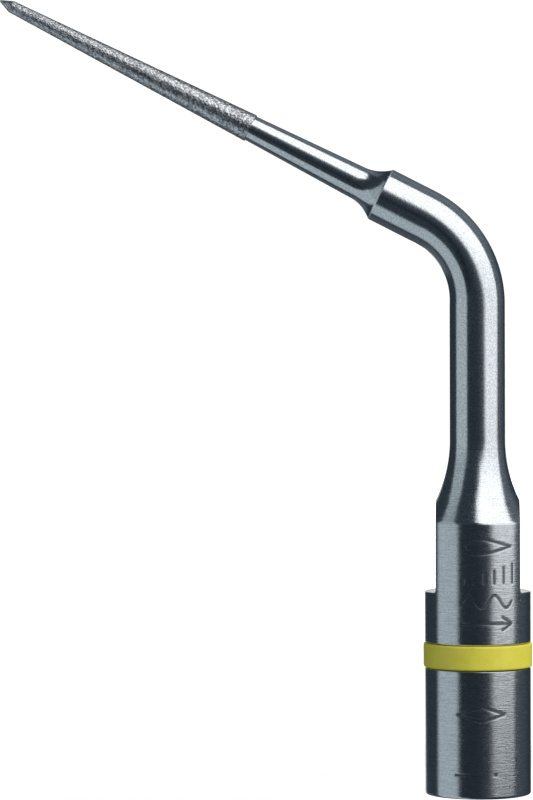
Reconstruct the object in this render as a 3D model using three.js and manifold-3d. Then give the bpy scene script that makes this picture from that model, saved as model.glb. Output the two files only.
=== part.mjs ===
// A screw-on working tip for a dental ultrasonic scaler, in three separate pieces: a one-piece
// stainless steel body, a yellow colour ring that sits loose in a groove of its base, and the
// nickel-bonded diamond layer on its working end.
// Millimetres. The origin is the centre of the seat face, +Z runs up the screw axis, the tip
// leans towards -X, and its bend lies in the XZ plane.
import * as THREE from "three";
import { mergeVertices } from "three/addons/utils/BufferGeometryUtils.js";
import Module from "manifold-3d";

const wasm = await Module();
wasm.setup();

// Base, which the wrench and the handpiece hold
const BASE_R = 2.53;
const BASE_TOP = 13.05;
const BASE_EDGE = 0.12;
const CONE_R = 2.0;
const CONE_TOP = 14.05;
const FLAT_HALF_WIDTH = 2.0;
const FLAT_FROM = 9.7;

// Colour ring and its groove
const RING_FROM = 6.09;
const RING_TO = 7.24;
const RING_R = 2.6;
const RING_BORE_R = 2.18;
const RING_EDGE = 0.1;
const GROOVE_PLAY = 0.02;
const GROOVE_R = 2.15;
const GROOVE_LIP = 0.05;

// Shank, bent once
const TAPER_ARC_R = 6.47;
const SHANK_R = 1.325;
const BEND_FROM = 23.4;
const BEND_R = 4.75;
const BEND_ANGLE = THREE.MathUtils.degToRad(62.8);
const AFTER_BEND = 2.26;

// Working end, measured along its own axis from the face of the shank
const NECK_ARC_R = 1.95;
const NECK_LENGTH = 1.33;
const NECK_R = 0.805;
const CORE_R_AT_LAYER = 0.63;
const LAYER_FROM = 6.98;
const LAYER_R = 0.685;
const LAYER_R_AT_POINT = 0.295;
const POINT_FROM = 19.9;
const END_LENGTH = 20.54;
const END_FLAT_R = 0.03;
const LAYER_THICKNESS = 0.05;
const LAYER_GAP = 0.01;

// Inside: the female thread, the channel for the cooling water, and its outlet, which is drilled
// through the wall on the hollow side of the elbow so that the jet runs below the working end
const THREAD_MINOR_R = 1.25;
const THREAD_DEPTH = 0.27;
const THREAD_PITCH = 0.6;
const SOCKET_DEPTH = 6.6;
const RELIEF_DEPTH = 0.8;
const RELIEF_R = 1.6;
const CHANNEL_R = 0.45;
const CHANNEL_END = BEND_FROM + 3.9;
const OUTLET_R = 0.25;
const OUTLET_ROUND_BEND = THREE.MathUtils.degToRad(50);
const OUTLET_RISE = THREE.MathUtils.degToRad(5);
const OUTLET_INWARDS = 1.5;
const OVERRUN = 0.6;

// How finely the round shapes are divided
const BODY_SIDES = 40;
const THREAD_SIDES = 24;
const THREAD_STEPS_PER_PITCH = 4;
const DRILLED_SIDES = 12;
const BEND_STEPS = 16;
const ARC_STEPS = 6;
const LAYER_STEPS = 8;

const BEND_LENGTH = BEND_R * BEND_ANGLE;
const FACE_AT = BEND_FROM + BEND_LENGTH + AFTER_BEND;

// Carries a point of the straight blank, whose height is measured along the blank, round the bend.
function bentPoint(x, y, along) {
  if (along <= BEND_FROM) return [x, y, along];
  const angle = Math.min((along - BEND_FROM) / BEND_R, BEND_ANGLE);
  const beyond = Math.max(along - BEND_FROM - BEND_LENGTH, 0);
  const reach = BEND_R + x;
  return [
    reach * Math.cos(angle) - BEND_R - beyond * Math.sin(angle),
    y,
    BEND_FROM + reach * Math.sin(angle) + beyond * Math.cos(angle),
  ];
}

function bent(geometry) {
  const at = geometry.attributes.position;
  for (let i = 0; i < at.count; i += 1) {
    at.setXYZ(i, ...bentPoint(at.getX(i), at.getY(i), at.getZ(i)));
  }
  return geometry;
}

// A turned shape about the Z axis, from a profile of [radius, height] pairs that runs upwards.
function turned(profile, sides) {
  const points = profile.map(([radius, height]) => new THREE.Vector2(radius, height));
  return new THREE.LatheGeometry(points, sides).rotateX(Math.PI / 2);
}

function solid(geometry) {
  const bare = geometry.clone();
  bare.deleteAttribute("normal");
  bare.deleteAttribute("uv");
  const merged = mergeVertices(bare, 1e-5);
  const mesh = new wasm.Mesh({
    numProp: 3,
    vertProperties: new Float32Array(merged.attributes.position.array),
    triVerts: new Uint32Array(merged.index.array),
  });
  return new wasm.Manifold(mesh);
}

function geometryOf(manifold) {
  const { vertProperties, triVerts } = manifold.getMesh();
  const geometry = new THREE.BufferGeometry();
  geometry.setAttribute("position", new THREE.BufferAttribute(vertProperties, 3));
  geometry.setIndex(new THREE.BufferAttribute(triVerts, 1));
  geometry.computeVertexNormals();
  return geometry;
}

// A hollow arc that runs smoothly into a straight of radius endR at height high, and is wider
// below it, as [radius, height] pairs from height low up.
function flare(arcR, endR, low, high) {
  return Array.from({ length: ARC_STEPS }, (_, i) => {
    const height = low + ((high - low) * i) / ARC_STEPS;
    return [endR + arcR - Math.sqrt(arcR ** 2 - (high - height) ** 2), height];
  });
}

// The straight blank with its groove, bent, then milled, tapped and drilled.
function steelBody() {
  const taperAcross = TAPER_ARC_R + SHANK_R - CONE_R;
  const taperEnd = CONE_TOP + Math.sqrt(TAPER_ARC_R ** 2 - taperAcross ** 2);
  const bendRings = Array.from({ length: BEND_STEPS + 1 }, (_, i) => {
    return [SHANK_R, BEND_FROM + (BEND_LENGTH * i) / BEND_STEPS];
  });
  const blank = [
    [0, 0],
    [BASE_R - BASE_EDGE, 0],
    [BASE_R, BASE_EDGE],
    [BASE_R, RING_FROM - GROOVE_PLAY - GROOVE_LIP],
    [BASE_R - GROOVE_LIP, RING_FROM - GROOVE_PLAY],
    [GROOVE_R, RING_FROM - GROOVE_PLAY],
    [GROOVE_R, RING_TO + GROOVE_PLAY],
    [BASE_R - GROOVE_LIP, RING_TO + GROOVE_PLAY],
    [BASE_R, RING_TO + GROOVE_PLAY + GROOVE_LIP],
    [BASE_R, BASE_TOP],
    ...flare(TAPER_ARC_R, SHANK_R, CONE_TOP, taperEnd),
    [SHANK_R, taperEnd],
    ...bendRings,
    ...flare(NECK_ARC_R, NECK_R, FACE_AT, FACE_AT + NECK_LENGTH),
    [NECK_R, FACE_AT + NECK_LENGTH],
    [CORE_R_AT_LAYER, FACE_AT + LAYER_FROM],
    [LAYER_R_AT_POINT - LAYER_THICKNESS, FACE_AT + POINT_FROM],
    [END_FLAT_R, FACE_AT + END_LENGTH - 2 * LAYER_THICKNESS],
    [0, FACE_AT + END_LENGTH - 2 * LAYER_THICKNESS],
  ];
  const outside = solid(bent(turned(blank, BODY_SIDES)));
  return outside
    .subtract(flatCutter(1))
    .subtract(flatCutter(-1))
    .subtract(solid(threadedSocket()))
    .subtract(solid(waterChannel()))
    .subtract(solid(outlet()));
}

// The block that mills one wrench flat, on the side of +X or -X, out of the base and the cone.
function flatCutter(side) {
  const width = BASE_R;
  const height = CONE_TOP + OVERRUN - FLAT_FROM;
  const block = new THREE.BoxGeometry(width, 4 * BASE_R, height);
  block.translate(side * (FLAT_HALF_WIDTH + width / 2), 0, FLAT_FROM + height / 2);
  return solid(block);
}

// A rod whose wall is pushed out in a wave that climbs one pitch per turn, with a plain relief
// at the mouth: what the tap leaves.
function threadedSocket() {
  const rows = Math.round((SOCKET_DEPTH / THREAD_PITCH) * THREAD_STEPS_PER_PITCH);
  const rod = new THREE.CylinderGeometry(1, 1, 1, THREAD_SIDES, rows);
  rod.rotateX(Math.PI / 2);
  const at = rod.attributes.position;
  for (let i = 0; i < at.count; i += 1) {
    const x = at.getX(i);
    const y = at.getY(i);
    const height = (at.getZ(i) + 0.5) * (SOCKET_DEPTH + OVERRUN) - OVERRUN;
    const turns = height / THREAD_PITCH - Math.atan2(y, x) / (2 * Math.PI);
    const wave = 2 * Math.abs(turns - Math.round(turns));
    const radius = height < RELIEF_DEPTH ? RELIEF_R : THREAD_MINOR_R + THREAD_DEPTH * wave;
    at.setXYZ(i, x * radius, y * radius, height);
  }
  return rod;
}

function waterChannel() {
  const start = SOCKET_DEPTH - OVERRUN;
  const rings = Array.from({ length: BEND_STEPS + 1 }, (_, i) => {
    return [CHANNEL_R, THREE.MathUtils.lerp(BEND_FROM, CHANNEL_END, i / BEND_STEPS)];
  });
  const profile = [[0, start], [CHANNEL_R, start], ...rings, [0, CHANNEL_END]];
  return bent(turned(profile, DRILLED_SIDES));
}

// The drill that makes the outlet: a rod along -X that rises a little, and that leaves the shank
// part of the way round the hollow side of the bend.
function outlet() {
  const length = OUTLET_INWARDS + OVERRUN;
  const rod = new THREE.CylinderGeometry(OUTLET_R, OUTLET_R, length, DRILLED_SIDES);
  rod.translate(0, length / 2 - OUTLET_INWARDS, 0);
  rod.rotateZ(Math.PI / 2);
  rod.rotateY(OUTLET_RISE);
  rod.translate(...bentPoint(-SHANK_R, 0, BEND_FROM + BEND_R * OUTLET_ROUND_BEND));
  return rod;
}

function colourRing() {
  const profile = [
    [RING_BORE_R, RING_FROM],
    [RING_R - RING_EDGE, RING_FROM],
    [RING_R, RING_FROM + RING_EDGE],
    [RING_R, RING_TO - RING_EDGE],
    [RING_R - RING_EDGE, RING_TO],
    [RING_BORE_R, RING_TO],
    [RING_BORE_R, RING_FROM],
  ];
  return turned(profile, BODY_SIDES);
}

function diamondLayer() {
  const outer = Array.from({ length: LAYER_STEPS + 1 }, (_, i) => {
    const share = i / LAYER_STEPS;
    return [
      THREE.MathUtils.lerp(LAYER_R, LAYER_R_AT_POINT, share),
      FACE_AT + THREE.MathUtils.lerp(LAYER_FROM, POINT_FROM, share),
    ];
  });
  const wall = LAYER_THICKNESS - LAYER_GAP;
  const profile = [
    [CORE_R_AT_LAYER + LAYER_GAP, FACE_AT + LAYER_FROM],
    ...outer,
    [END_FLAT_R, FACE_AT + END_LENGTH],
    [0, FACE_AT + END_LENGTH],
    [0, FACE_AT + END_LENGTH - wall],
    [END_FLAT_R, FACE_AT + END_LENGTH - wall],
    [LAYER_R_AT_POINT - wall, FACE_AT + POINT_FROM],
    [CORE_R_AT_LAYER + LAYER_GAP, FACE_AT + LAYER_FROM],
  ];
  return bent(turned(profile, BODY_SIDES));
}

const steel = new THREE.MeshStandardMaterial({ color: 0x6f7882, roughness: 0.3, metalness: 1 });
const plastic = new THREE.MeshStandardMaterial({ color: 0xc9bc4b, roughness: 0.5, metalness: 0 });
const diamond = new THREE.MeshStandardMaterial({ color: 0x8c8f92, roughness: 0.7, metalness: 0.8 });

function piece(name, geometry, material) {
  const mesh = new THREE.Mesh(geometry, material);
  mesh.name = name;
  return mesh;
}

const scalerTip = new THREE.Group();
scalerTip.add(piece("tip_body", geometryOf(steelBody()), steel));
scalerTip.add(piece("colour_ring", colourRing(), plastic));
scalerTip.add(piece("diamond_coating", diamondLayer(), diamond));

export default scalerTip;
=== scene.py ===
import math

import bpy
import numpy as np
from mathutils import Matrix, Vector


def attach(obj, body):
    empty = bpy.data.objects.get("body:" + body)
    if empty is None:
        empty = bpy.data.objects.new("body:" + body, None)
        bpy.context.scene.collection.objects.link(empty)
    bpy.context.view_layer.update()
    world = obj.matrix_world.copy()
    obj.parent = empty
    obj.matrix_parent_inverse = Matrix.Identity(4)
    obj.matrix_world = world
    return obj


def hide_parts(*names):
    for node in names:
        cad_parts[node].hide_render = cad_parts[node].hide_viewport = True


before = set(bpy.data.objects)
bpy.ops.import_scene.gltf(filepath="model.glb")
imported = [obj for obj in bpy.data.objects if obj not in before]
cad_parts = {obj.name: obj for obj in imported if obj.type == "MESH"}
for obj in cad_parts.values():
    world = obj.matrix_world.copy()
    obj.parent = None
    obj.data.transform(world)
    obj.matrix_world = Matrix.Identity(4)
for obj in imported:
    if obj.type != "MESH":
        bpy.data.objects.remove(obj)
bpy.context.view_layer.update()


# ---------------------------------------------------------------------------------------------
# Steel body. One bar of hardened stainless steel, turned with its groove, milled with two wrench
# flats, tapped and drilled from below, engraved on the front, polished, and bent last of all.
# Sizes are millimetres on the straight blank, where "along" is the height above the seat face.
MM = 0.001
BASE_R, BASE_TOP, BASE_EDGE = 2.53, 13.05, 0.12
CONE_R, CONE_TOP = 2.0, 14.05
FLAT_AT, FLAT_FROM, FLAT_FILLET, FLAT_CHAMFER = 2.0, 9.7, 0.12, 0.03
GROOVE_FROM, GROOVE_TO, GROOVE_R, GROOVE_LIP = 6.07, 7.26, 2.15, 0.05
TAPER_ARC_R = 6.47
SHANK_R = 1.325
BEND_FROM, BEND_R, BEND_ANGLE = 23.4, 4.75, math.radians(62.8)
BEND_LENGTH = BEND_R * BEND_ANGLE
BEND_THINNING = 0.05
FACE_AT = BEND_FROM + BEND_LENGTH + 2.26
NECK_ARC_R, NECK_LENGTH, NECK_R = 1.95, 1.33, 0.805
LAYER_FROM, CORE_R_AT_LAYER = 6.98, 0.63
POINT_FROM, CORE_R_AT_POINT = 19.9, 0.245
CORE_END, CORE_END_R = 20.44, 0.03
THREAD_R, THREAD_DEPTH, THREAD_PITCH, THREAD_FROM, THREAD_TO = 1.25, 0.27, 0.6, 0.8, 6.4
MOUTH_R, MOUTH_CHAMFER = 1.6, 0.12
CHANNEL_R, CHANNEL_FROM, CHANNEL_END = 0.45, 7.3, BEND_FROM + 3.9
OUTLET_R, OUTLET_ALONG, OUTLET_LEAN = 0.25, BEND_FROM + BEND_R * math.radians(50), math.radians(50)
OUTLET_INSIDE_ALONG, OUTLET_INSIDE_LEAN = BEND_FROM + BEND_R * math.radians(36), math.radians(41)
FRONT = math.radians(-90)
HOLLOW_SIDE = math.radians(180)
MARKED_FROM, MARKED_TO, MARKED_STEP, PLAIN_STEP, EDGE_STEP = -28, 55, 1.2, 4.0, 0.35
MARK_DEPTH = 0.008
NICK_ACROSS, NICK_ALONG, NICK_HALF_WIDTH, NICK_HALF_HEIGHT, NICK_DEPTH = 2.28, 9.42, 0.12, 0.07, 0.03


def smoothstep(low, high, value):
    """0 below low, 1 above high, and a smooth S between them."""
    share = np.clip((value - low) / (high - low), 0, 1)
    return share * share * (3 - 2 * share)


def bent(blank):
    """Where points (x, y, along) of the straight blank lie after bending. Below the bend they
    stay, in it they turn about its centre at (-BEND_R, BEND_FROM), and beyond it they run
    straight on. The steel on the hollow side is drawn in a little where the bend is tightest."""
    x, y, along = blank[..., 0], blank[..., 1], blank[..., 2]
    angle = np.clip((along - BEND_FROM) / BEND_R, 0, BEND_ANGLE)
    beyond = np.maximum(along - BEND_FROM - BEND_LENGTH, 0)
    drawn_in = BEND_THINNING * np.sin(math.pi * angle / BEND_ANGLE) * (x < 0)
    reach = BEND_R + x * (1 - drawn_in)
    across = reach * np.cos(angle) - BEND_R - beyond * np.sin(angle)
    up = np.minimum(along, BEND_FROM) + reach * np.sin(angle) + beyond * np.cos(angle)
    return np.stack([across, y, up], axis=-1)


def rounded_profile(corners):
    """A profile through corners (radius, along, cut, step). Each corner is cut back by its cut on
    both sides and bridged by a parabola. The straight run after it is divided into its step, and
    has one more point close to each end, which keeps the shading of the run flat."""
    at = np.array([corner[:2] for corner in corners], float)
    run = np.linalg.norm(np.diff(at, axis=0), axis=1)
    toward = np.diff(at, axis=0) / run[:, None]
    u = np.linspace(0, 1, 6)[:, None]
    made = []
    for i, (_, _, cut, step) in enumerate(corners):
        stop = at[i]
        if cut:
            stop = at[i] + cut * toward[i]
            start = at[i] - cut * toward[i - 1]
            made.append((1 - u) ** 2 * start + 2 * u * (1 - u) * at[i] + u**2 * stop)
        else:
            made.append(at[i : i + 1])
        if i + 1 < len(corners):
            clear = run[i] - cut - corners[i + 1][2]
            margin = min(0.02, clear / 4)
            inner = np.linspace(margin, clear - margin, max(1, round(clear / step)) + 1)
            made.append(stop + inner[:, None] * toward[i])
    return np.concatenate(made)


def hollow_arc(arc_r, end_r, low, high, steps):
    """Points (radius, along) on a hollow arc, wide at low, that runs out smoothly into a straight
    of radius end_r at high."""
    along = np.linspace(low, high, steps + 1)
    return np.stack([end_r + arc_r - np.sqrt(arc_r**2 - (high - along) ** 2), along], axis=1)


def body_profile():
    """The whole section of the blank as one line of (radius, along): from the blind end of the
    water channel down through the thread, round the seat face, and up the outside to the point."""
    taper_end = CONE_TOP + math.sqrt(TAPER_ARC_R**2 - (TAPER_ARC_R + SHANK_R - CONE_R) ** 2)
    taper = hollow_arc(TAPER_ARC_R, SHANK_R, CONE_TOP, taper_end, 18)
    neck = hollow_arc(NECK_ARC_R, NECK_R, FACE_AT, FACE_AT + NECK_LENGTH, 16)
    inside_and_base = [
        (0, CHANNEL_END, 0, 0.2),
        (CHANNEL_R, CHANNEL_END, 0.1, 0.07),
        (CHANNEL_R, BEND_FROM, 0, 1.5),
        (CHANNEL_R, CHANNEL_FROM, 0.05, 0.2),
        (THREAD_R, CHANNEL_FROM - 0.5, 0.05, 0.2),
        (THREAD_R, THREAD_TO, 0, THREAD_PITCH / 10),
        (THREAD_R, THREAD_FROM, 0, 0.2),
        (MOUTH_R, THREAD_FROM, 0.03, 0.3),
        (MOUTH_R, MOUTH_CHAMFER, 0.03, 0.2),
        (MOUTH_R + MOUTH_CHAMFER, 0, 0.03, 0.3),
        (BASE_R, 0, BASE_EDGE, 0.25),
        (BASE_R, 1.0, 0, 0.045),
        (BASE_R, 1.3, 0, 0.3),
        (BASE_R, 3.55, 0, 0.045),
        (BASE_R, 4.5, 0, 0.3),
        (BASE_R, GROOVE_FROM - GROOVE_LIP, 0.02, 0.2),
        (BASE_R - GROOVE_LIP, GROOVE_FROM, 0.02, 0.2),
        (GROOVE_R, GROOVE_FROM, 0.03, 0.3),
        (GROOVE_R, GROOVE_TO, 0.03, 0.2),
        (BASE_R - GROOVE_LIP, GROOVE_TO, 0.02, 0.2),
        (BASE_R, GROOVE_TO + GROOVE_LIP, 0.02, 0.2),
        (BASE_R, 7.9, 0, 0.045),
        (BASE_R, FLAT_FROM, 0, 0.015),
        (BASE_R, FLAT_FROM + 0.15, 0, 0.045),
        (BASE_R, 12.6, 0, 0.1),
        (BASE_R, BASE_TOP, 0.09, 0.04),
        (CONE_R, CONE_TOP, 0, 0.1),
        (*taper[1], 0, 1),
    ]
    shank_to_neck = [
        (SHANK_R, BEND_FROM - 0.1, 0, 0.087),
        (SHANK_R, FACE_AT, 0.045, 0.1),
        (*neck[1], 0, 1),
    ]
    working_core = [
        (CORE_R_AT_LAYER, FACE_AT + LAYER_FROM, 0, 2),
        (CORE_R_AT_POINT, FACE_AT + POINT_FROM, 0, 0.3),
        (CORE_END_R, FACE_AT + CORE_END, 0, 0.1),
        (0, FACE_AT + CORE_END, 0, 0.1),
    ]
    return np.concatenate(
        [
            rounded_profile(inside_and_base),
            taper[2:],
            rounded_profile(shank_to_neck),
            neck[2:],
            rounded_profile(working_core),
        ]
    )


def body_angles():
    """The angles of the blank's columns, counted from the front: close together on the engraved
    part, wider round the back, and three at each of the four upright edges of the wrench flats."""
    edge = math.degrees(math.asin(FLAT_AT / BASE_R))
    edges = np.array([edge, 180 - edge, 180 + edge, 360 - edge])
    marked = np.arange(MARKED_FROM, MARKED_TO, MARKED_STEP)
    plain = np.arange(MARKED_TO + 2, MARKED_FROM + 359, PLAIN_STEP)
    spread = np.concatenate([marked, plain])
    away = np.abs((spread[:, None] - edges + 180) % 360 - 180).min(axis=1)
    wanted = np.concatenate([spread[away > 0.8], edges - EDGE_STEP, edges, edges + EDGE_STEP])
    return FRONT + np.radians(np.sort(wanted % 360))


def mark_strokes():
    """The engraved signs as lines in (across, up) millimetres, seen from the front: a drop for
    the water, rising bars for the power, a wave for the vibration and an arrow above the ring,
    and a lozenge for the diamond layer, a bar and a dot below it."""
    t = np.linspace(0, 2 * math.pi, 49)
    drop_up = 11.95 + 0.5 * np.sin(t) * np.sin(t / 2) ** 1.5
    drop = np.stack([0.5 + 1.15 * np.cos(t), drop_up], axis=1)
    bars_across = np.linspace(-0.7, 1.75, 6)
    bars = [np.array([(a, 10.22), (a, 10.36 + 0.15 * k)]) for k, a in enumerate(bars_across)]
    wave_across = np.linspace(-0.75, 1.7, 40)
    wave_up = 9.35 + 0.3 * np.sin((wave_across + 0.75) * math.pi / 0.6125)
    wave = np.stack([wave_across, wave_up], axis=1)
    arrow = [np.array([(-0.75, 8.3), (1.7, 8.3)]), np.array([(1.2, 8.6), (1.7, 8.3), (1.2, 8.0)])]
    lozenge = np.array([(-1.0, 4.02), (0.15, 4.38), (1.3, 4.02), (0.15, 3.66), (-1.0, 4.02)])
    low_bar = np.array([(-1.1, 1.15), (-0.4, 1.15)])
    low_dot = np.array([(0.8, 1.15), (0.86, 1.15)])
    return [drop, wave, lozenge, low_bar, low_dot, *bars, *arrow]


def distance_to_strokes(across, up, strokes):
    """How far each point is from the nearest line of the strokes."""
    nearest = np.full(across.shape, 9.0)
    for stroke in strokes:
        for start, stop in zip(stroke[:-1], stroke[1:]):
            way = stop - start
            share = ((across - start[0]) * way[0] + (up - start[1]) * way[1]) / (way @ way)
            share = np.clip(share, 0, 1)
            off = np.hypot(across - start[0] - share * way[0], up - start[1] - share * way[1])
            nearest = np.minimum(nearest, off)
    return nearest


def body_points():
    """The blank's points as rows up the profile and columns round it, with how strongly each is painted
    dark.
    In an engraved line that dark is the marking's own colour, and in the small nick it is painted shade.
    A flat is the plane x = FLAT_AT or -FLAT_AT, so on it the radius is FLAT_AT over the cosine of the
    angle.
    A thread is a radius that rises and falls once per pitch and climbs with the angle.
    An engraved line is a radius that dips near the line, and so is the small nick beside the right flat."""
    profile = body_profile()
    angle = body_angles()
    radius, along = (np.repeat(column[:, None], len(angle), axis=1) for column in profile.T)
    row = np.arange(len(profile))[:, None]
    outside = row > profile[:, 1].argmin()

    threaded = ~outside & (along > THREAD_FROM + 0.01) & (along < THREAD_TO)
    turns = along / THREAD_PITCH - angle / (2 * math.pi)
    flank = np.clip(2.5 * np.abs(turns - np.round(turns)) - 0.12, 0, 1)
    fade = smoothstep(THREAD_TO, THREAD_TO - 0.4, along)
    radius = radius + THREAD_DEPTH * flank * fade * threaded

    plane_r = FLAT_AT / np.maximum(np.abs(np.cos(angle)), 0.1)
    cut = np.clip((BASE_R - plane_r) / 0.05, 0, 1)
    over = along - FLAT_FROM
    slide = np.clip(over / FLAT_CHAMFER, 0, 1)
    curl = np.clip((over - FLAT_CHAMFER) / FLAT_FILLET, 0, 1) * math.pi / 2
    root_r = plane_r + FLAT_FILLET * (1 - np.sin(curl))
    rim_r = BASE_R - FLAT_CHAMFER
    milled_r = np.where(over < FLAT_CHAMFER, rim_r + (root_r - rim_r) * slide, root_r)
    milled_up = FLAT_FROM + FLAT_FILLET * (1 - np.cos(curl))
    milled_up = milled_up + np.maximum(over - FLAT_CHAMFER - FLAT_FILLET, 0)
    settle = 1 - smoothstep(0.15, 0.6, over)
    milled = outside & (cut > 0) & (over > -0.001) & (along < CONE_TOP + 0.5)
    radius = np.where(milled, np.minimum(radius, milled_r), radius)
    along = np.where(milled, along + cut * settle * (milled_up - along), along)

    turned_to_front = (angle - FRONT + math.pi) % (2 * math.pi) - math.pi
    across = turned_to_front * BASE_R + 0 * along
    engravable = outside & (along < FLAT_FROM + 3) & (np.abs(across) < 3)
    off = np.where(engravable, distance_to_strokes(across, along, mark_strokes()), 9.0)
    marks_and_nick_shade = 1 - smoothstep(0.035, 0.09, off)
    radius = radius - MARK_DEPTH * (1 - smoothstep(0.04, 0.10, off))

    from_nick = np.hypot(
        (across - NICK_ACROSS) / NICK_HALF_WIDTH, (along - NICK_ALONG) / NICK_HALF_HEIGHT
    )
    radius = radius - NICK_DEPTH * (1 - smoothstep(0.2, 1.0, from_nick)) * engravable
    # The nick is painted dark in the same values as the engraved lines: painted shade in the dent.
    marks_and_nick_shade = np.maximum(marks_and_nick_shade, (1 - smoothstep(0.8, 1.3, from_nick)) * engravable)

    blank = np.stack([radius * np.cos(angle), radius * np.sin(angle), along], axis=-1)
    return blank, marks_and_nick_shade, angle, profile[:, 1], outside[:, 0]


def block_loop(rows, columns):
    """The (row, column) pairs round the edge of a block of the grid, once round."""
    low, high, left, right = rows[0], rows[-1], columns[0], columns[-1]
    return (
        [(low, c) for c in columns[:-1]]
        + [(r, right) for r in rows[:-1]]
        + [(high, c) for c in columns[:0:-1]]
        + [(r, left) for r in rows[:0:-1]]
    )


def hole_rings(loop, centre, half, radius, shares):
    """Rings of points (x, y, along) on a round wall that lead from a square loop of (angle, along)
    pairs to an oval hole. Each point slides straight from the loop towards the point of the oval
    that lies in its own direction, by each of the shares. half is the oval's half size."""
    offset = loop - centre
    offset = offset / np.abs(offset).max(axis=0)
    direction = np.arctan2(offset[:, 1], offset[:, 0])
    oval = centre + half * np.stack([np.cos(direction), np.sin(direction)], axis=1)
    rings = []
    for share in shares:
        angle, along = (loop + share * (oval - loop)).T
        rings.append(np.stack([radius * np.cos(angle), radius * np.sin(angle), along], axis=1))
    return rings


def ring_faces(loops):
    """The four-cornered faces between each closed loop of point numbers and the next."""
    lower, upper = np.array(loops[:-1]), np.array(loops[1:])
    return np.stack([lower, np.roll(lower, -1, 1), np.roll(upper, -1, 1), upper], axis=-1).reshape(-1, 4)


def make_piece(name, points, quads, triangles, attributes, smooth=True):
    """A mesh object from points in metres and whole arrays of faces. If its faces enclose a
    negative volume they are all turned round, so that they point outwards."""
    corners = np.concatenate([triangles, quads[:, [0, 1, 2]], quads[:, [0, 2, 3]]])
    a, b, c = (points[corners[:, i]] for i in range(3))
    if np.einsum("ij,ij->i", a, np.cross(b, c)).sum() < 0:
        quads, triangles = quads[:, ::-1], triangles[:, ::-1]
    mesh = bpy.data.meshes.new(name)
    mesh.vertices.add(len(points))
    mesh.vertices.foreach_set("co", points.astype(np.float32).ravel())
    flat = np.concatenate([quads.ravel(), triangles.ravel()]).astype(np.int32)
    mesh.loops.add(len(flat))
    mesh.loops.foreach_set("vertex_index", flat)
    sizes = np.concatenate([np.full(len(quads), 4), np.full(len(triangles), 3)])
    starts = np.concatenate([[0], np.cumsum(sizes)[:-1]]).astype(np.int32)
    mesh.polygons.add(len(sizes))
    mesh.polygons.foreach_set("loop_start", starts)
    mesh.polygons.foreach_set("use_smooth", np.full(len(sizes), smooth))
    for key, values in attributes.items():
        kind, field = ("FLOAT_VECTOR", "vector") if values.ndim == 2 else ("FLOAT", "value")
        stored = mesh.attributes.new(key, kind, "POINT")
        stored.data.foreach_set(field, values.astype(np.float32).ravel())
    mesh.update(calc_edges=True)
    mesh.validate()
    piece = bpy.data.objects.new(name, mesh)
    bpy.context.scene.collection.objects.link(piece)
    return piece


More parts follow.
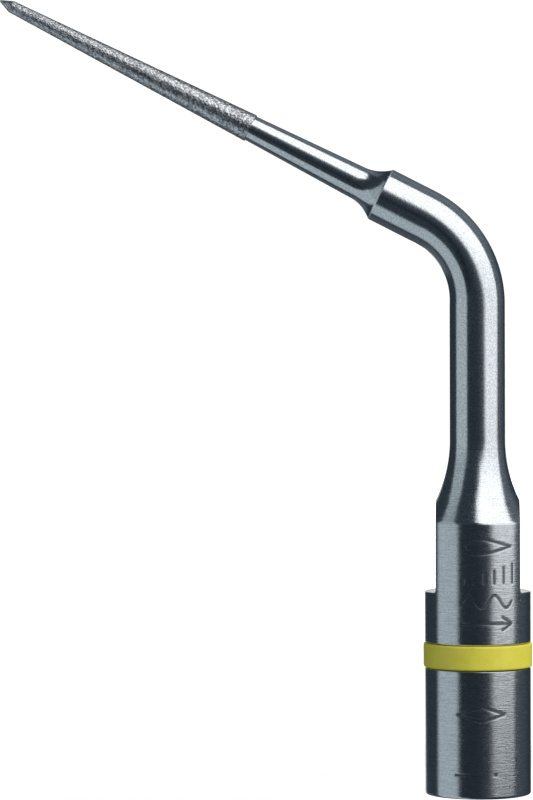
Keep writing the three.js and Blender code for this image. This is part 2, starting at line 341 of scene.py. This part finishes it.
def make_body():
    """The body as one closed skin: the grid of the blank with a point at each end of its section,
    and the drilled outlet, whose wall joins a hole in the shank to a hole in the channel."""
    blank, marks_and_nick_shade, angle, level, outside = body_points()
    rows, columns = blank.shape[0], blank.shape[1]
    number = np.arange(rows * columns).reshape(rows, columns)

    half_columns, half_rows = 11, 8
    middle = np.abs((angle - HOLLOW_SIDE + math.pi) % (2 * math.pi) - math.pi).argmin()
    block_columns = np.arange(middle - half_columns, middle + half_columns + 1)
    outer_middle = np.where(outside, np.abs(level - OUTLET_ALONG), 99).argmin()
    inner_middle = np.where(~outside, np.abs(level - OUTLET_INSIDE_ALONG), 99).argmin()
    outer_rows = np.arange(outer_middle - half_rows, outer_middle + half_rows + 1)
    inner_rows = np.arange(inner_middle + half_rows, inner_middle - half_rows - 1, -1)
    outer_pairs = np.array(block_loop(outer_rows, block_columns))
    inner_pairs = np.array(block_loop(inner_rows, block_columns))
    full_turn = np.where(angle < 0, angle + 2 * math.pi, angle)
    outer_loop = np.stack([full_turn[outer_pairs[:, 1]], level[outer_pairs[:, 0]]], axis=1)
    inner_loop = np.stack([full_turn[inner_pairs[:, 1]], level[inner_pairs[:, 0]]], axis=1)
    outer_half = (math.asin(OUTLET_R / SHANK_R), OUTLET_R / math.cos(OUTLET_LEAN))
    inner_half = (math.asin(OUTLET_R / CHANNEL_R), OUTLET_R / math.cos(OUTLET_INSIDE_LEAN))
    leading = np.array([0.3, 0.55, 0.75, 0.88, 0.95, 0.985, 1.0])
    outer_centre = np.array([HOLLOW_SIDE, OUTLET_ALONG])
    inner_centre = np.array([HOLLOW_SIDE, OUTLET_INSIDE_ALONG])
    outer_rings = hole_rings(outer_loop, outer_centre, np.array(outer_half), SHANK_R, leading)
    inner_rings = hole_rings(inner_loop, inner_centre, np.array(inner_half), CHANNEL_R, leading)
    wall = [
        outer_rings[-1] + share * (inner_rings[-1] - outer_rings[-1])
        for share in (0.015, 0.05, 0.15, 0.4, 0.7, 0.95)
    ]
    extra = np.concatenate([*outer_rings, *wall, *inner_rings[::-1]])
    extra_numbers = number.size + np.arange(len(extra)).reshape(-1, len(outer_loop))
    loops = [number[tuple(outer_pairs.T)], *extra_numbers, number[tuple(inner_pairs.T)]]

    low = np.stack([number[:-1], np.roll(number[:-1], -1, 1)], axis=-1)
    high = np.stack([np.roll(number[1:], -1, 1), number[1:]], axis=-1)
    quads = np.concatenate([low, high], axis=-1)
    whole = np.ones(quads.shape[:2], bool)
    whole[np.ix_(outer_rows[:-1], block_columns[:-1])] = False
    whole[np.ix_(np.sort(inner_rows)[:-1], block_columns[:-1])] = False
    whole[0] = whole[-1] = False
    quads = np.concatenate([quads[whole], ring_faces(loops)])
    first, last = number[1], number[-2]
    start, stop = np.full(columns, number[0, 0]), np.full(columns, number[-1, 0])
    triangles = np.concatenate(
        [
            np.stack([start, np.roll(first, -1), first], axis=-1),
            np.stack([last, np.roll(last, -1), stop], axis=-1),
        ]
    )
    points = np.concatenate([blank.reshape(-1, 3), extra])
    # Per point: the dark of the engraved marks, and the painted shade of the nick.
    marks_and_nick_shade_values = np.concatenate([marks_and_nick_shade.ravel(), np.zeros(len(extra))])
    used, packed = np.unique(np.concatenate([quads.ravel(), triangles.ravel()]), return_inverse=True)
    quads, triangles = packed[: quads.size].reshape(-1, 4), packed[quads.size :].reshape(-1, 3)
    return make_piece(
        "steel_body",
        bent(points[used]) * MM,
        quads,
        triangles,
        {"blank": points[used], "marks_and_nick_shade": marks_and_nick_shade_values[used]},
    )


class Paint:
    """One value in a material. Arithmetic on it adds Math nodes, and node adds any other node."""

    def __init__(self, tree, socket):
        self.tree = tree
        self.socket = socket

    def node(self, kind, settings=None, inputs=None, out=0):
        """A new node with these settings and inputs, as the value at one of its outputs."""
        made = self.tree.nodes.new("ShaderNode" + kind)
        for key, value in (settings or {}).items():
            setattr(made, key, value)
        for key, value in (inputs or {}).items():
            if isinstance(value, Paint):
                self.tree.links.new(value.socket, made.inputs[key])
            else:
                made.inputs[key].default_value = value
        return Paint(self.tree, made.outputs[out])

    def maths(self, operation, *values):
        """One Math node on these values, which are numbers or Paint."""
        return self.node("Math", {"operation": operation}, dict(enumerate(values)))

    def __add__(self, other):
        return self.maths("ADD", self, other)

    def __sub__(self, other):
        return self.maths("SUBTRACT", self, other)

    def __rsub__(self, other):
        return self.maths("SUBTRACT", other, self)

    def __mul__(self, other):
        return self.maths("MULTIPLY", self, other)

    __radd__ = __add__
    __rmul__ = __mul__

    def step(self, low, high):
        """0 where the value is below low, 1 where it is above high, and a smooth S between."""
        ends = {"Value": self, "From Min": low, "From Max": high}
        return self.node("MapRange", {"interpolation_type": "SMOOTHSTEP"}, ends)

    def noise(self, stretch, detail, roughness):
        """Noise at this place, with so many features per millimetre along each of its axes."""
        scaled = self.node("VectorMath", {"operation": "MULTIPLY"}, {0: self, 1: stretch})
        inputs = {"Vector": scaled, "Scale": 1.0, "Detail": detail, "Roughness": roughness}
        return self.node("TexNoise", None, inputs, "Fac")

    def blend(self, under, over):
        """The colour under where this value is 0, and the colour over where it is 1."""
        inputs = {0: self, 6: under, 7: over}
        return self.node("Mix", {"data_type": "RGBA"}, inputs, 2)

    def bump(self, distance):
        """The surface's normal with this value raised by so many metres."""
        return self.node("Bump", None, {"Height": self, "Distance": distance})


def new_material(name):
    """An empty material's start for Paint, and its shader."""
    material = bpy.data.materials.new(name)
    material.use_nodes = True
    shader = material.node_tree.nodes["Principled BSDF"]
    return material, Paint(material.node_tree, None), shader


def turned_steel():
    """Stainless steel. Fine turning lines run round everything below the end of the taper, as noise
    that is stretched round the blank, and a thin dark line marks their end; above it the steel is
    tumbled to a fine speckle. The base is a little darker and engraved lines are dark. The small
    nick beside the right flat is painted dark too, as painted shade, and the edge of the shank's
    end face is painted white, as a painted highlight."""
    material, start, shader = new_material("turned_steel")
    blank = start.node("Attribute", {"attribute_name": "blank"}, out="Vector")
    along = blank.node("SeparateXYZ", None, {0: blank}, "Z")
    marks_and_nick_shade = start.node("Attribute", {"attribute_name": "marks_and_nick_shade"}, out="Fac")
    turned_to, last_cut_at = 16.3, 16.52
    turned = 1 - along.step(turned_to, turned_to + 0.3)
    base = 1 - along.step(13.0, 13.15)
    last_cut = along.maths("COMPARE", along, last_cut_at, 0.025)
    # Painted highlight: a thin ring at the edge of the shank's end face, later blended to white.
    face_edge_highlight = along.maths("COMPARE", along, FACE_AT, 0.04)
    streaks = blank.noise((2.0, 2.0, 24.0), 3.0, 0.6)
    lines = blank.noise((0.35, 0.35, 40.0), 2.0, 0.6)
    speckle = blank.noise((12.0, 12.0, 12.0), 3.0, 0.7)
    cloud = blank.noise((1.1, 1.1, 1.4), 2.0, 0.5)
    specks = blank.noise((7.0, 7.0, 7.0), 1.0, 0.5).step(0.74, 0.80)
    height = turned * ((1.0 + 0.6 * base) * streaks + 1.0 * lines) + (0.5 + 0.1 * base) * speckle
    grain = base.node("Mix", None, {0: base, 2: speckle, 3: 0.5 * speckle + 0.25})
    tone = (turned * (0.5 * streaks + 0.3 * lines - 0.4) + grain).step(0.30, 0.70)
    steel = tone.blend((0.58, 0.61, 0.63, 1), (0.92, 0.94, 0.955, 1))
    steel = (base * 0.10).blend(steel, (0.50, 0.53, 0.56, 1))
    steel = (specks * 0.5 + last_cut * 0.25).blend(steel, (0.16, 0.17, 0.19, 1))
    # Engraved lines take their own dark marking colour here, and the nick takes painted shade.
    steel = (marks_and_nick_shade * 0.85).blend(steel, (0.08, 0.09, 0.10, 1))
    # Painted highlight: the end face's edge ring is blended to white.
    steel = face_edge_highlight.blend(steel, (1.0, 1.0, 1.0, 1))
    rough = 0.10 + 0.06 * cloud + 0.06 * speckle + 0.25 * marks_and_nick_shade + 0.25 * face_edge_highlight
    links = material.node_tree.links
    links.new(steel.socket, shader.inputs["Base Color"])
    links.new(rough.socket, shader.inputs["Roughness"])
    links.new(height.bump(2.4e-6).socket, shader.inputs["Normal"])
    shader.inputs["Metallic"].default_value = 1.0
    return material


steel_body = make_body()
steel_body.data.materials.append(turned_steel())
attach(steel_body, "tip")
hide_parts("tip_body")


# ---------------------------------------------------------------------------------------------
# Colour ring. A band of yellow plastic, moulded with round edges and sprung into the groove of
# the base, where it stands a little proud of the steel and can be turned by hand.
RING_R, RING_BORE_R, RING_FROM, RING_TO, RING_EDGE = 2.60, 2.18, 6.09, 7.24, 0.1
RING_COLUMNS = 144


def make_ring():
    """A closed section of (radius, height) carried once round the axis."""
    inner_edge = 0.04
    section = rounded_profile(
        [
            (RING_BORE_R, (RING_FROM + RING_TO) / 2, 0, 0.2),
            (RING_BORE_R, RING_FROM, inner_edge, 0.1),
            (RING_R, RING_FROM, RING_EDGE, 0.1),
            (RING_R, RING_TO, RING_EDGE, 0.1),
            (RING_BORE_R, RING_TO, inner_edge, 0.2),
            (RING_BORE_R, (RING_FROM + RING_TO) / 2, 0, 0.2),
        ]
    )[:-1]
    angle = np.linspace(0, 2 * math.pi, RING_COLUMNS, endpoint=False)
    radius, height = section[:, :1], section[:, 1:]
    points = np.stack([radius * np.cos(angle), radius * np.sin(angle), height + 0 * angle], axis=-1)
    number = np.arange(points.shape[0] * RING_COLUMNS).reshape(-1, RING_COLUMNS)
    quads = ring_faces([*number, number[0]])
    return make_piece("colour_band", points.reshape(-1, 3) * MM, quads, np.zeros((0, 3), int), {})


def yellow_plastic():
    """Satin plastic, slightly mottled, with a few dark specks of polishing dust."""
    material, start, shader = new_material("yellow_plastic")
    place = start.node("TexCoord", out="Object")
    mottle = place.noise((1400.0, 1400.0, 1400.0), 3.0, 0.6)
    grain = place.noise((16000.0, 16000.0, 16000.0), 2.0, 0.6)
    specks = place.noise((9000.0, 9000.0, 9000.0), 1.0, 0.5).step(0.70, 0.76)
    yellow = mottle.blend((0.62, 0.56, 0.055, 1), (0.75, 0.69, 0.085, 1))
    yellow = (specks * 0.45).blend(yellow, (0.25, 0.22, 0.05, 1))
    rough = 0.42 + 0.12 * grain
    links = material.node_tree.links
    links.new(yellow.socket, shader.inputs["Base Color"])
    links.new(rough.socket, shader.inputs["Roughness"])
    links.new(grain.bump(1.2e-6).socket, shader.inputs["Normal"])
    return material


colour_band = make_ring()
colour_band.data.materials.append(yellow_plastic())
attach(colour_band, "ring")
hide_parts("colour_ring")


# ---------------------------------------------------------------------------------------------
# Diamond layer. Grit a little under a tenth of a millimetre, held on the steel core by nickel
# that is plated round it, so the surface is a crust of small blunt crystals.
LAYER_R, LAYER_R_AT_POINT, LAYER_END, LAYER_END_R = 0.685, 0.295, 20.54, 0.03
LAYER_BORE_GAP = 0.01
GRIT = 0.085
GRIT_HEIGHT = 0.018
LAYER_COLUMNS = 120
LAYER_STEP = 0.034


def crystals(u, v, size, seed):
    """A crust of crystals on a flat sheet (u, v): one peak in each square cell of that size, moved
    about in its cell, with a height of its own. Each place is as high as the highest of the
    blunt pyramids on the peaks round it. Returns the height and the number of that peak."""
    period = 64
    table = np.random.default_rng(seed).random((period, period, 5))
    best = np.full(u.shape, -9.0)
    owner = np.zeros(u.shape)
    cell_u, cell_v = np.floor(u / size).astype(int), np.floor(v / size).astype(int)
    for du in (-1, 0, 1):
        for dv in (-1, 0, 1):
            facts = table[(cell_u + du) % period, (cell_v + dv) % period]
            off_u = u / size - (cell_u + du + facts[..., 0])
            off_v = v / size - (cell_v + dv + facts[..., 1])
            turn = facts[..., 2] * math.pi / 2
            side = np.abs(off_u * np.cos(turn) + off_v * np.sin(turn))
            end = np.abs(off_v * np.cos(turn) - off_u * np.sin(turn))
            height = 0.5 + 0.5 * facts[..., 3] - np.maximum(np.maximum(side, end), 0.22)
            higher = height > best
            best = np.where(higher, height, best)
            owner = np.where(higher, facts[..., 4], owner)
    return best, owner


def make_layer():
    """The layer's section carried round the working end, outside and inside, with the crystals
    added to the outside's radius. The sheet of crystals is wrapped round the axis by using the
    length of arc at the thick end as its width."""
    along = np.arange(LAYER_FROM + 0.02, LAYER_END - 0.02, LAYER_STEP)
    shaft = np.interp(
        along, [LAYER_FROM, POINT_FROM, LAYER_END], [LAYER_R, LAYER_R_AT_POINT, LAYER_END_R]
    )
    angle = np.linspace(0, 2 * math.pi, LAYER_COLUMNS, endpoint=False)
    cells_round = 50
    spread_u = angle / (2 * math.pi) * cells_round * GRIT + 0 * along[:, None]
    height, owner = crystals(spread_u, along[:, None] + 0 * angle, GRIT, 7)
    rise = GRIT_HEIGHT * (height - 0.55) * np.minimum(1, shaft / 0.2)[:, None]
    outer_r = shaft[:, None] + rise
    edge_cut = 0.02
    edge_r = shaft[:1, None] - edge_cut + 0 * angle
    inner_along = np.array([LAYER_END - 0.05, POINT_FROM, LAYER_FROM])
    inner_r = np.array([LAYER_END_R, LAYER_R_AT_POINT - 0.04, CORE_R_AT_LAYER + LAYER_BORE_GAP])
    radius = np.concatenate([inner_r[:, None] + 0 * angle, edge_r, outer_r])
    level = np.concatenate([inner_along, [LAYER_FROM], along])
    own = np.concatenate([np.full((4, LAYER_COLUMNS), 0.5), owner])
    blank = np.stack(
        [radius * np.cos(angle), radius * np.sin(angle), FACE_AT + level[:, None] + 0 * angle], axis=-1
    )
    number = np.arange(radius.size).reshape(radius.shape)
    poles = np.array([[0, 0, FACE_AT + LAYER_END - 0.04], [0, 0, FACE_AT + LAYER_END]])
    first, last = np.full(LAYER_COLUMNS, radius.size), np.full(LAYER_COLUMNS, radius.size + 1)
    triangles = np.concatenate(
        [
            np.stack([first, np.roll(number[0], -1), number[0]], axis=-1),
            np.stack([number[-1], np.roll(number[-1], -1), last], axis=-1),
        ]
    )
    points = np.concatenate([blank.reshape(-1, 3), poles])
    grain = np.concatenate([own.ravel(), [0.5, 0.5]])
    attributes = {"blank": points, "grain": grain}
    return make_piece(
        "diamond_layer", bent(points) * MM, ring_faces(list(number)), triangles, attributes, smooth=False
    )


def diamond_grit():
    """Nickel-grey crust. Each crystal has a tone and a gloss of its own."""
    material, start, shader = new_material("diamond_grit")
    grain = start.node("Attribute", {"attribute_name": "grain"}, out="Fac")
    blank = start.node("Attribute", {"attribute_name": "blank"}, out="Vector")
    fine = blank.noise((30.0, 30.0, 30.0), 2.0, 0.6)
    tone = (0.75 * grain + 0.5 * fine).step(0.2, 1.05)
    crust = tone.blend((0.30, 0.315, 0.325, 1), (1.0, 1.0, 1.0, 1))
    rough = 0.20 + 0.25 * fine
    links = material.node_tree.links
    links.new(crust.socket, shader.inputs["Base Color"])
    links.new(rough.socket, shader.inputs["Roughness"])
    links.new(fine.bump(3e-6).socket, shader.inputs["Normal"])
    shader.inputs["Metallic"].default_value = 1.0
    return material


diamond_layer = make_layer()
diamond_layer.data.materials.append(diamond_grit())
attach(diamond_layer, "tip")
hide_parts("diamond_coating")


# ---------------------------------------------------------------------------------------------
# Studio. A pale floor that curves up into a wall all round, and a tent of soft cards whose
# reflections draw the bright bands on the polished steel. Directions to the cards are given as
# their angle away from the way to the camera, and the roll round it from +X towards +Z.
FLOOR_RADIUS, WALL_RADIUS, WALL_HEIGHT = 0.45, 0.60, 0.55
TENT_RADIUS = 0.40
MIDDLE_HEIGHT = 0.02
LAMP_SIZE = 0.20


def tent_light(away, roll, height):
    """How bright the tent is, as red, green and blue, in each direction. All angles are degrees,
    and height is the angle above the level. Each card lies between a near edge and a far edge,
    given as how far away from the camera's direction they are at each roll."""
    low = 1 - smoothstep(-3.5, -1.5, height)

    # The white card stands at the right and curves over the top, with soft edges.
    near = np.interp(roll, [-40, 0, 27, 63, 79, 94, 98, 102], [31, 31, 24, 19, 32, 48, 72, 95])
    near = near + 1.5 * low
    soft = 8 - 4 * smoothstep(15, 60, roll)
    far = 91.5 - 6.5 * low - 0.5 * smoothstep(30, 60, roll) - 3.0 * np.maximum(roll - 80, 0)
    white = smoothstep(near - soft, near + soft, away) * (1 - smoothstep(far - 1.5, far + 1.5, away))
    white = white * smoothstep(-12.5, -2.5, height) * (roll > -60) * (roll < 110)
    lift = 0.98 + 0.35 * smoothstep(3, 35, height)

    # The grey card stands at the left and runs under to the bottom. It is darker high up.
    near = np.interp(roll, [120, 132, 140, 166, 180, 240, 285], [96, 75, 64, 45, 44, 47, 96])
    grey = smoothstep(near - 1.5, near + 1.5, away) * (1 - smoothstep(95, 98, away))
    fade = 1 - 0.25 * smoothstep(0, 14, height) - 0.25 * smoothstep(35, 50, height)
    grey = grey * fade * (0.93 + 0.07 * smoothstep(-3, -1, height))

    # Dim cloth hangs beyond the white card, above and below at the rear, and before the white
    # card's near edge, where it feathers that edge off.
    side = smoothstep(94, 100, away) * (1 - smoothstep(105, 150, away)) * (np.abs(roll) < 100)
    side = side * (0.4 + 0.6 * smoothstep(-3, 0, height))
    rear_top = smoothstep(98, 125, away) * smoothstep(20, 45, roll) * (1 - smoothstep(80, 95, roll))
    rear_low = smoothstep(96, 125, away) * smoothstep(194, 206, roll)
    rear_low = rear_low * (1.8 - 0.8 * smoothstep(222, 238, roll))
    feather = (1 - white) * smoothstep(-2, 35, away) * (roll > -60) * (roll < 95) * (away < 60)
    feather = feather * (1 - 0.6 * low) * (1 + 0.5 * smoothstep(40, 60, roll))
    dim = 0.09 * side + 0.09 * rear_top + 0.05 * rear_low + 0.055 * feather

    # A warm card is right behind the object, with two corners cut wider.
    corner = (roll > 105) * (roll < 168) + (roll > 205) * (roll < 228)
    back = smoothstep(np.where(corner, 150, 163), np.where(corner, 156, 167), away)

    # Everywhere else the tent is dark and a little blue, and darkest just below the level in front.
    dim_low = low * smoothstep(-14, -9, height) * (1 - smoothstep(60, 90, away))
    dark = (1 - 0.5 * dim_low)[..., None] * np.array([0.028, 0.038, 0.050])
    return (
        dark
        + (white * lift)[..., None] * np.array([0.98, 1.0, 1.02])
        + (0.47 * grey)[..., None] * np.array([0.86, 0.98, 1.05])
        + dim[..., None] * np.array([0.88, 0.98, 1.10])
        + (0.64 * back)[..., None] * np.array([0.96, 0.98, 0.86])
    )


def make_tent():
    """A sphere of small cards round the object, which shows only in reflections and as light."""
    away = np.radians(np.linspace(0, 180, 121))[1:-1, None]
    roll = np.radians(np.linspace(-90, 270, 240, endpoint=False))
    sphere = np.stack(
        [np.sin(away) * np.cos(roll), -np.cos(away) + 0 * roll, np.sin(away) * np.sin(roll)], axis=-1
    )
    height = np.degrees(np.arcsin(sphere[..., 2]))
    light = tent_light(np.degrees(away) + 0 * roll, np.degrees(roll) + 0 * away, height)
    ends = np.array([[0, -1, 0], [0, 1, 0]])
    middle = np.array([0, 0, MIDDLE_HEIGHT])
    points = np.concatenate([sphere.reshape(-1, 3), ends]) * TENT_RADIUS + middle
    light = np.concatenate([light.reshape(-1, 3), light[0, :1], light[-1, :1]])
    number = np.arange(away.size * roll.size).reshape(away.size, roll.size)
    front, rear = np.full(roll.size, number.size), np.full(roll.size, number.size + 1)
    caps = np.concatenate(
        [
            np.stack([front, np.roll(number[0], -1), number[0]], axis=-1),
            np.stack([number[-1], np.roll(number[-1], -1), rear], axis=-1),
        ]
    )
    tent = make_piece("tent", points, ring_faces(list(number)), caps, {"light": light})
    material, start, shader = new_material("tent_cards")
    glow = start.node("Attribute", {"attribute_name": "light"}, out="Vector")
    material.node_tree.links.new(glow.socket, shader.inputs["Emission Color"])
    shader.inputs["Base Color"].default_value = (0, 0, 0, 1)
    shader.inputs["Roughness"].default_value = 1.0
    shader.inputs["Specular IOR Level"].default_value = 0.0
    shader.inputs["Emission Strength"].default_value = 1.0
    tent.data.materials.append(material)
    tent.visible_camera = False
    tent.visible_shadow = False


make_tent()


def make_floor():
    """A flat disc whose edge curves up in a quarter circle into a round wall."""
    bend_r = WALL_RADIUS - FLOOR_RADIUS
    turn = np.linspace(0, math.pi / 2, 13)
    radius = np.concatenate([[0.02, 0.2], FLOOR_RADIUS + bend_r * np.sin(turn), [WALL_RADIUS]])
    height = np.concatenate([[0, 0], bend_r * (1 - np.cos(turn)), [WALL_HEIGHT]])
    angle = np.linspace(0, 2 * math.pi, 72, endpoint=False)
    grid = np.stack(
        [radius[:, None] * np.cos(angle), radius[:, None] * np.sin(angle), height[:, None] + 0 * angle],
        axis=-1,
    )
    number = np.arange(radius.size * angle.size).reshape(radius.size, angle.size)
    centre = np.full(angle.size, number.size)
    fan = np.stack([centre, number[0], np.roll(number[0], -1)], axis=-1)
    points = np.concatenate([grid.reshape(-1, 3), [[0, 0, 0]]])
    floor = make_piece("floor", points, ring_faces(list(number)), fan, {})
    material, _, shader = new_material("pale_floor")
    shader.inputs["Base Color"].default_value = (0.5, 0.5, 0.5, 1)
    shader.inputs["Roughness"].default_value = 0.9
    shader.inputs["Specular IOR Level"].default_value = 0.0
    shader.inputs["Emission Color"].default_value = (1, 1, 1, 1)
    shader.inputs["Emission Strength"].default_value = 1.0
    floor.data.materials.append(material)
    floor.visible_glossy = False
    floor.visible_diffuse = False


make_floor()


def add_lamp(name, place, power, colour):
    """A square soft lamp aimed at the object, which polished steel doesn't mirror."""
    lamp = bpy.data.lights.new(name, "AREA")
    lamp.size, lamp.energy, lamp.color = LAMP_SIZE, power, colour
    holder = bpy.data.objects.new(name, lamp)
    holder.location = place
    aim = Vector((0, 0, MIDDLE_HEIGHT)) - Vector(place)
    holder.rotation_euler = aim.to_track_quat("-Z", "Y").to_euler()
    holder.visible_glossy = False
    bpy.context.scene.collection.objects.link(holder)


add_lamp("key_lamp", (0.26, -0.16, 0.14), 0.75, (1.0, 0.99, 0.97))
add_lamp("fill_lamp", (-0.22, -0.22, 0.10), 0.24, (1.0, 0.99, 1.0))
add_lamp("rear_lamp", (0.04, 0.33, 0.12), 0.50, (1.0, 0.99, 0.97))

world = bpy.data.worlds.new("studio")
bpy.context.scene.world = world
world.use_nodes = True
sky = world.node_tree.nodes["Background"]
sky.inputs["Color"].default_value = (1.0, 1.0, 1.0, 1)
sky.inputs["Strength"].default_value = 0.0

CAMERA_AT = Vector((-0.00103, -0.170, 0.02241))
CAMERA_PAN, CAMERA_TILT, CAMERA_ROLL = math.radians(3.05), math.radians(-1.2), math.radians(-0.18)
LENS, SENSOR = 159.9, 36.0
camera_data = bpy.data.cameras.new("camera")
camera_data.sensor_width = SENSOR
camera_data.lens = LENS
camera_data.clip_start = 0.01
camera_data.clip_end = 10
camera = bpy.data.objects.new("camera", camera_data)
camera.location = CAMERA_AT
aim = Matrix.Rotation(CAMERA_PAN, 3, "Z") @ Matrix.Rotation(math.pi / 2 + CAMERA_TILT, 3, "X")
camera.rotation_euler = (aim @ Matrix.Rotation(CAMERA_ROLL, 3, "Z")).to_euler()
bpy.context.scene.collection.objects.link(camera)
bpy.context.scene.camera = camera
bpy.context.scene.view_settings.view_transform = "Standard"
